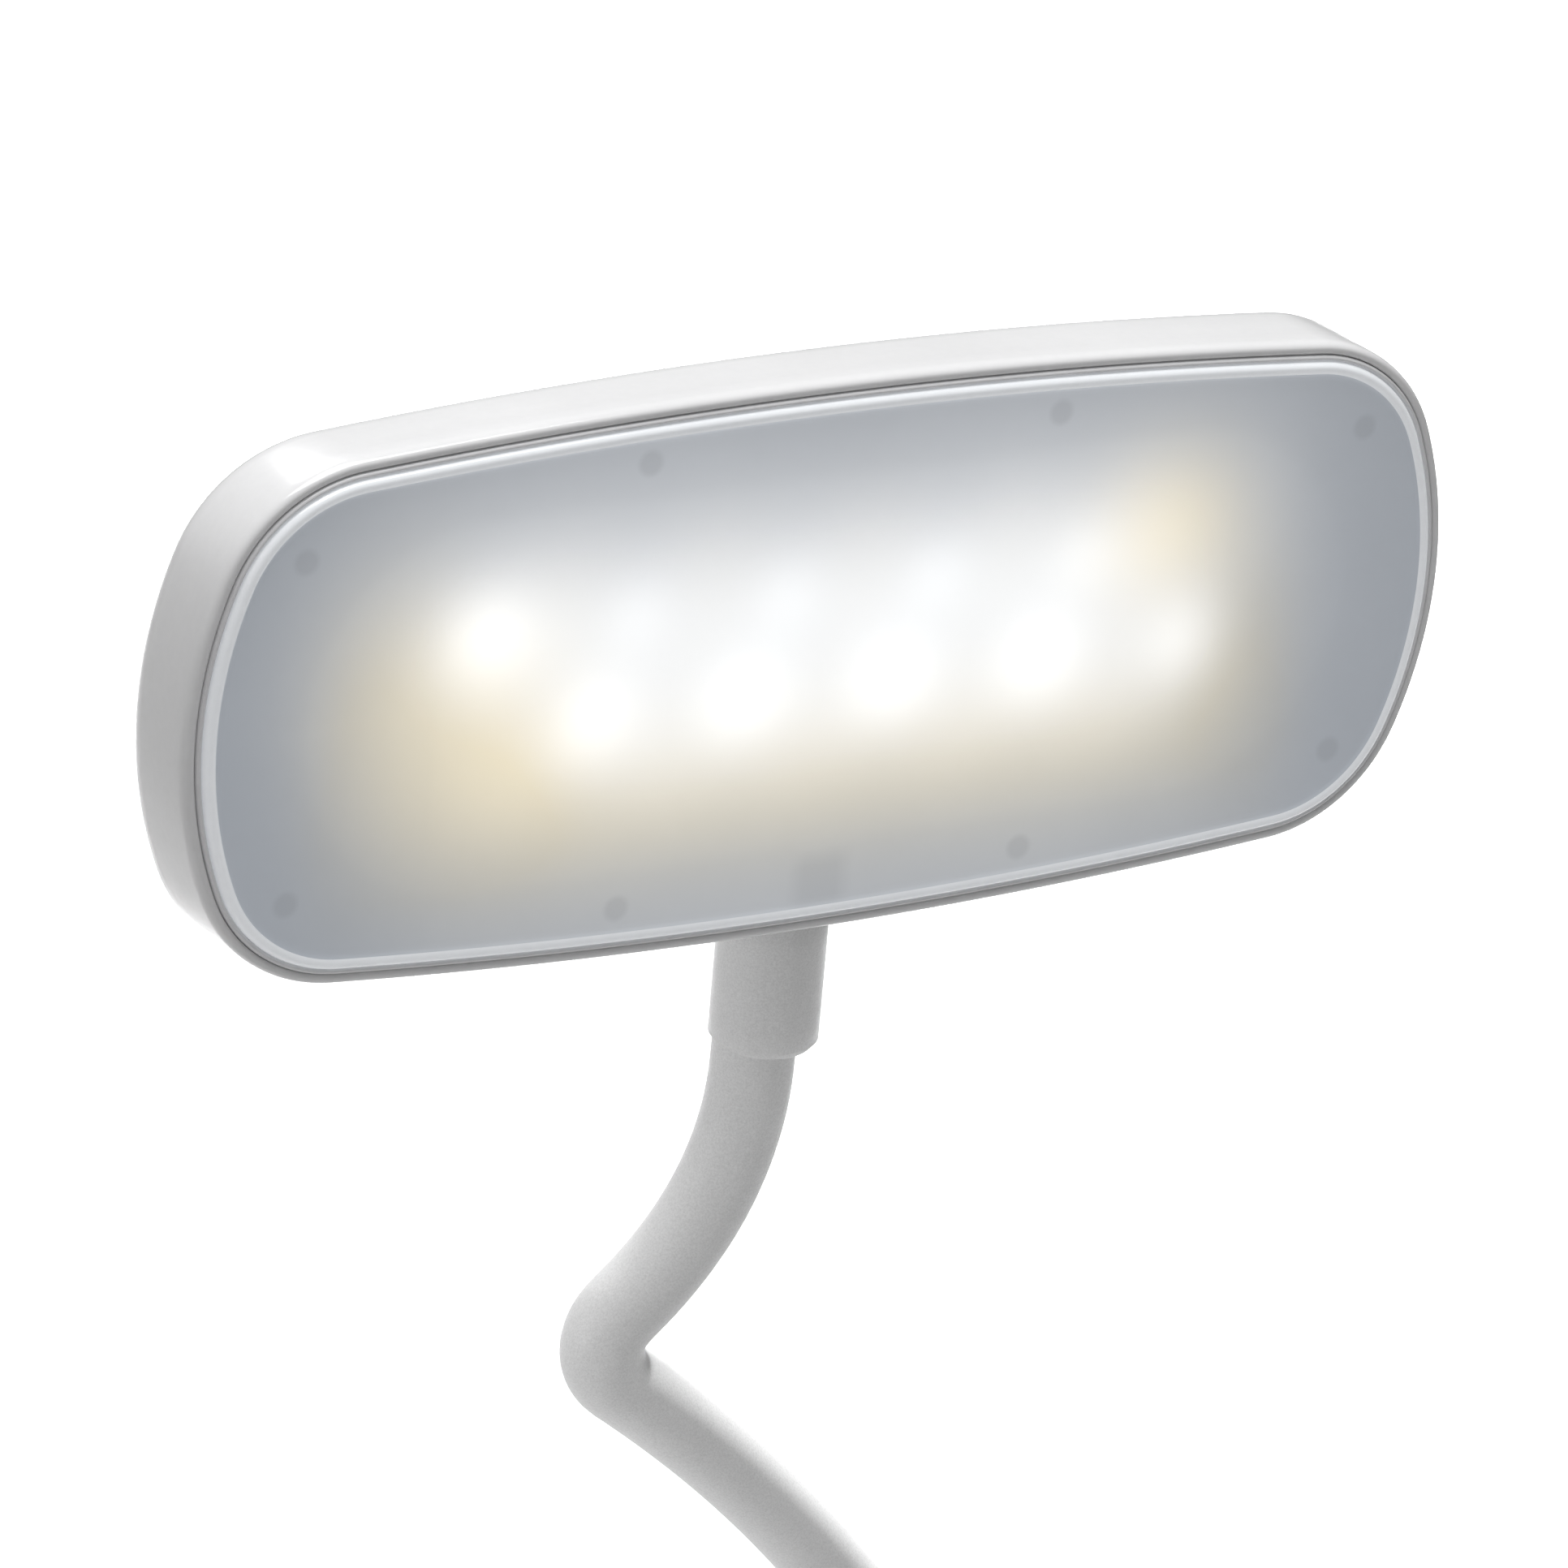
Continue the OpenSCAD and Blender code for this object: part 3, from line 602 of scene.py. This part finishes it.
neck_skins = []
for i in range(1, 7):
    first, last = cuts[i - 1], cuts[i]
    rings = [neck_ring(k) for k in [*range(first, last, 2), last]]
    v, f, sharp = loft(rings, close_first=True, close_last=True)
    piece = make_mesh("neck_skin_%d" % i, v, f, [neck_mat], sharp=sharp)
    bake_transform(piece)
    done = ["neck_stub" if i == 1 else "neck_sleeve_%d" % (i - 1)]
    if i == 6:
        done.append("neck_sleeve_6")
    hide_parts(*done)
    neck_skins.append(piece)

# ---------------------------------------------------------------- clip cover and lower jaw
def solid(rings):
    v, f, _ = loft(rings, close_first=True, close_last=True)
    return make_mesh("solid", v, f, [shell_mat])


def block_ring(lo, hi, inset, z, corner=12.0, steps=10):
    """A round-cornered rectangle between lo and hi, drawn in by inset."""
    parts = []
    for k, (sx, sy) in enumerate(((1, 1), (-1, 1), (-1, -1), (1, -1))):
        a = np.linspace(k, k + 1, steps + 1) * math.pi / 2
        cx = (hi[0] if sx > 0 else lo[0]) - sx * corner * MM
        cy = (hi[1] if sy > 0 else lo[1]) - sy * corner * MM
        r = (corner - inset) * MM
        parts.append(np.stack([cx + r * np.cos(a), cy + r * np.sin(a), np.full(len(a), z)], 1))
    return np.concatenate(parts)


def box_solid(lo, hi):
    flat = [(lo[0], lo[1]), (hi[0], lo[1]), (hi[0], hi[1]), (lo[0], hi[1])]
    return solid([np.array([(x, y, z) for x, y in flat]) for z in (lo[2], hi[2])])


def upright(x, y, z, radius, length):
    return solid(lathe([(radius, 0.0), (radius, length)], (x, y, z), 48))


def crosswise(x, z, radius, y0, y1):
    a = np.linspace(0, 2 * math.pi, 48, endpoint=False)
    r = radius * MM
    return solid([np.stack([x + r * np.cos(a), np.full(48, y), z + r * np.sin(a)], 1) for y in (y0, y1)])


def combine_solids(ob, other, how):
    mod = ob.modifiers.new("shape", "BOOLEAN")
    mod.operation, mod.solver, mod.object = how, "EXACT", other
    done = bpy.data.meshes.new_from_object(ob.evaluated_get(bpy.context.evaluated_depsgraph_get()))
    ob.modifiers.remove(mod)
    ob.data = done
    bpy.data.objects.remove(other)


def finish_solid(ob, name, body, replaced):
    ob.name = ob.data.name = name
    ob.data.polygons.foreach_set("use_smooth", [True] * len(ob.data.polygons))
    ob.data.set_sharp_from_angle(angle=math.radians(32))
    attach(ob, body)
    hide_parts(replaced)


lo, hi = [np.array(v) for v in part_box("housing_cover")]
top = hi[2]
rise = fillet(0.0, -3.0, 2.6, 0.0, 8)
levels = [(0, lo[2]), (0, top - 3 * MM)] + [(i, top + d * MM) for i, d in rise]
cover = solid([block_ring(lo, hi, i, z) for i, z in levels])
hollow = [(2.0, lo[2] - MM), (2.0, top - 3.4 * MM), (3.4, top - 2 * MM)]
combine_solids(cover, solid([block_ring(lo, hi, i, z) for i, z in hollow]), "DIFFERENCE")
BOSS_X, BOSS_Y, BOSS_R, SCREW_R = 8, 4.8, 2.6, 1.1
for x in (lo[0] + BOSS_X * MM, hi[0] - BOSS_X * MM):
    for y in (lo[1] + BOSS_Y * MM, hi[1] - BOSS_Y * MM):
        combine_solids(cover, upright(x, y, lo[2], BOSS_R, (top - lo[2]) / MM - 1.5), "UNION")
        combine_solids(cover, upright(x, y, lo[2] - MM, SCREW_R, 6.0), "DIFFERENCE")
holes = {"neck_ferrule": 6.05, "power_button": 5.3, "colour_button": 5.3, "charge_light": 1.1}
for name, radius in holes.items():
    a, b = [np.array(v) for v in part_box(name)]
    drill = upright((a[0] + b[0]) / 2, (a[1] + b[1]) / 2, top - 4 * MM, radius, 6.0)
    combine_solids(cover, drill, "DIFFERENCE")
a, b = [np.array(v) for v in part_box("charge_socket")]
slot_lo = (hi[0] - 4 * MM, a[1] - 0.3 * MM, a[2] - 0.2 * MM)
slot_hi = (hi[0] + MM, b[1] + 0.3 * MM, b[2] + 0.2 * MM)
combine_solids(cover, box_solid(slot_lo, slot_hi), "DIFFERENCE")
finish_solid(cover, "cover_smooth", "clip_body", "housing_cover")

EAR_R, EAR_T, EAR_OUT, PIN_HOLE, PLATE_T = 5.0, 3.2, 18.6, 1.52, 6.4
lo, hi = [np.array(v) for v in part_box("lower_jaw")]
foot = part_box("base_sole")[1][2]
pin_lo, pin_hi = [np.array(v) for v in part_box("hinge_pin")]
pin_x, pin_z = (pin_lo[0] + pin_hi[0]) / 2, hi[2] - EAR_R * MM
deck = foot + PLATE_T * MM
levels = [(i, foot + d * MM) for i, d in ((0.8, 0.0), (0.5, 0.12), (0.15, 0.45), (0.0, 0.9))]
levels += [(0.0, deck - 1.3 * MM)] + [(i, deck + d * MM) for i, d in fillet(0.0, -1.3, 1.2, 0.0, 6)]
jaw = solid([block_ring(lo, hi, i, z) for i, z in levels])
mid = (lo + hi) / 2
weight_lo, weight_hi = [np.array(v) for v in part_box("base_weight")]
combine_solids(jaw, box_solid(weight_lo - 0.2 * MM, weight_hi + 0.2 * MM), "DIFFERENCE")
for side in (-1, 1):
    y0, y1 = [mid[1] + (side * EAR_OUT + half * EAR_T / 2) * MM for half in (-1, 1)]
    ear = crosswise(pin_x, pin_z, EAR_R, y0, y1)
    post = box_solid((pin_x - EAR_R * MM, y0, deck - MM), (pin_x + EAR_R * MM, y1, pin_z))
    combine_solids(ear, post, "UNION")
    combine_solids(jaw, ear, "UNION")
combine_solids(jaw, crosswise(pin_x, pin_z, PIN_HOLE, lo[1], hi[1]), "DIFFERENCE")
finish_solid(jaw, "lower_jaw_smooth", "clip_base", "lower_jaw")

# ---------------------------------------------------------------- CAD nodes that stay
cores = ["core_stub"] + ["core_%d" % i for i in range(1, 7)]
steel_parts = [
    "board_screws", "anchor_screws", "housing_screws", "jaw_screws", "neck_anchor", "neck_nut",
    "charge_socket", "torsion_spring", "spring_leg", "hinge_pin",
]
keep = [
    (sheet_mat, ["reflector_sheet"]),
    (white_board_mat, ["led_board"]),
    (cool_mat, ["cool_leds"]),
    (warm_mat, ["warm_leds"]),
    (steel_mat, steel_parts),
    (core_mat, cores),
    (weight_mat, ["base_weight"]),
    (collar_mat, ["neck_ferrule"]),
    (shell_mat, ["housing_base", "upper_jaw"]),
    (foil_mat, ["battery"]),
    (board_mat, ["control_board"]),
    (black_mat, ["tact_switches"]),
    (button_mat, ["power_button", "colour_button"]),
    (pipe_mat, ["charge_light"]),
    (rubber_mat, ["upper_jaw_pad", "lower_jaw_pad", "base_sole"]),
]
for mat, names in keep:
    for name in names:
        for s in frame["nodes"][name].material_slots:
            s.material = mat


# ---------------------------------------------------------------- camera, floor and light
# Solved from the head's outline, around the middle of its front
origin = Vector((0, FRONT, HEAD_Z))
cam_data = bpy.data.cameras.new("camera")
cam = bpy.data.objects.new("camera", cam_data)
scene.collection.objects.link(cam)
forward = Vector((0.47730, 0.78699, -0.39094)).normalized()
up = Vector((0.12744, 0.37819, 0.91691))
right = forward.cross(up).normalized()
up = right.cross(forward)
cam.matrix_world = Matrix((
    (right.x, up.x, -forward.x, 0),
    (right.y, up.y, -forward.y, 0),
    (right.z, up.z, -forward.z, 0),
    (0, 0, 0, 1),
))
cam.location = origin + Vector((-435.7, -705.9, 337.6)) * MM
cam_data.sensor_width = 36
cam_data.lens = 190.8
cam_data.shift_x = 0.0084
cam_data.shift_y = -0.0013
cam_data.clip_end = 50
scene.camera = cam

floor_mat, floor_tree, floor_bsdf = new_material("pale_floor")
floor_v = object_coords(floor_tree, 1.0)
floor_tones = [(0.3, (0.59, 0.59, 0.59)), (0.7, (0.61, 0.61, 0.61))]
floor_tree.links.new(
    ramp(floor_tree, noise(floor_tree, floor_v, 3.0), floor_tones), floor_bsdf.inputs["Base Color"]
)
floor_bsdf.inputs["Roughness"].default_value = 0.9
floor_bsdf.inputs["Specular IOR Level"].default_value = 0.0
floor = make_mesh("floor", [(-8, -8, 0), (8, -8, 0), (8, 8, 0), (-8, 8, 0)], [(0, 1, 2, 3)], [floor_mat])
floor.location.z = -0.0003

world = bpy.data.worlds.new("studio")
scene.world = world
world.use_nodes = True
sky = world.node_tree
sky_coords = sky.nodes.new("ShaderNodeTexCoord")
sky_dot = sky.nodes.new("ShaderNodeVectorMath")
sky_dot.operation = "DOT_PRODUCT"
sky_dot.inputs[1].default_value = (-0.75, 0.6, 0.27)
sky.links.new(sky_coords.outputs["Generated"], sky_dot.inputs[0])
# Soft light from all round, a little stronger from the left and the back
SKY_LEVEL, SKY_SLANT = 0.295, 0.09
sky_strength = math_node(sky, "MULTIPLY_ADD", sky_dot.outputs["Value"], SKY_SLANT, SKY_LEVEL)
sky.links.new(sky_strength, sky.nodes["Background"].inputs["Strength"])
sky.nodes["Background"].inputs["Color"].default_value = (1, 1, 1, 1)


def area(name, place, target, size, power, size_y=None):
    data = bpy.data.lights.new(name, "AREA")
    data.energy = power
    data.size = size
    if size_y:
        data.shape = "RECTANGLE"
        data.size_y = size_y
    light = bpy.data.objects.new(name, data)
    scene.collection.objects.link(light)
    light.location = place
    light.visible_camera = False
    light.rotation_euler = (Vector(target) - Vector(place)).to_track_quat("-Z", "Y").to_euler()
    return light


def spot_light(name, place, target, power, angle):
    data = bpy.data.lights.new(name, "SPOT")
    data.energy = power
    data.spot_size = math.radians(angle)
    data.spot_blend = 0.6
    data.shadow_soft_size = 0.05
    light = bpy.data.objects.new(name, data)
    scene.collection.objects.link(light)
    light.location = place
    light.rotation_euler = (Vector(target) - Vector(place)).to_track_quat("-Z", "Y").to_euler()
    light.light_linking.receiver_collection = neck_pieces
    return light


neck_pieces = bpy.data.collections.new("neck_pieces")
for ob in [collar] + neck_skins:
    neck_pieces.objects.link(ob)
area("top_light", (-0.05, 0.1, 1.65), (0, 0, 0.2), 1.0, 24.0)
# Seen only as a reflection on the head's upper corner
streak = area("corner_light", (0.05, 1.08, 1.03), (-0.06, 0, 0.28), 0.25, 9.0)
streak.visible_diffuse = False
# Light and dark sides of the gooseneck
spot_light("neck_light", (-0.7, -0.02, 0.2), (-0.005, 0, 0.172), 3.6, 10.0)
spot_light("bend_light", (0.45, 0.25, 0.75), (0.012, 0, 0.147), 62.0, 5.5)
# A long panel over the floor behind the lamp, turned along the camera's line of sight
back = area("background_light", (0.43, 0.73, 0.8), (0.43, 0.73, 0), 0.5, 10.0, 0.8)
back.rotation_euler.z = -math.atan2(0.52, 0.85)
back.data.spread = math.radians(80)
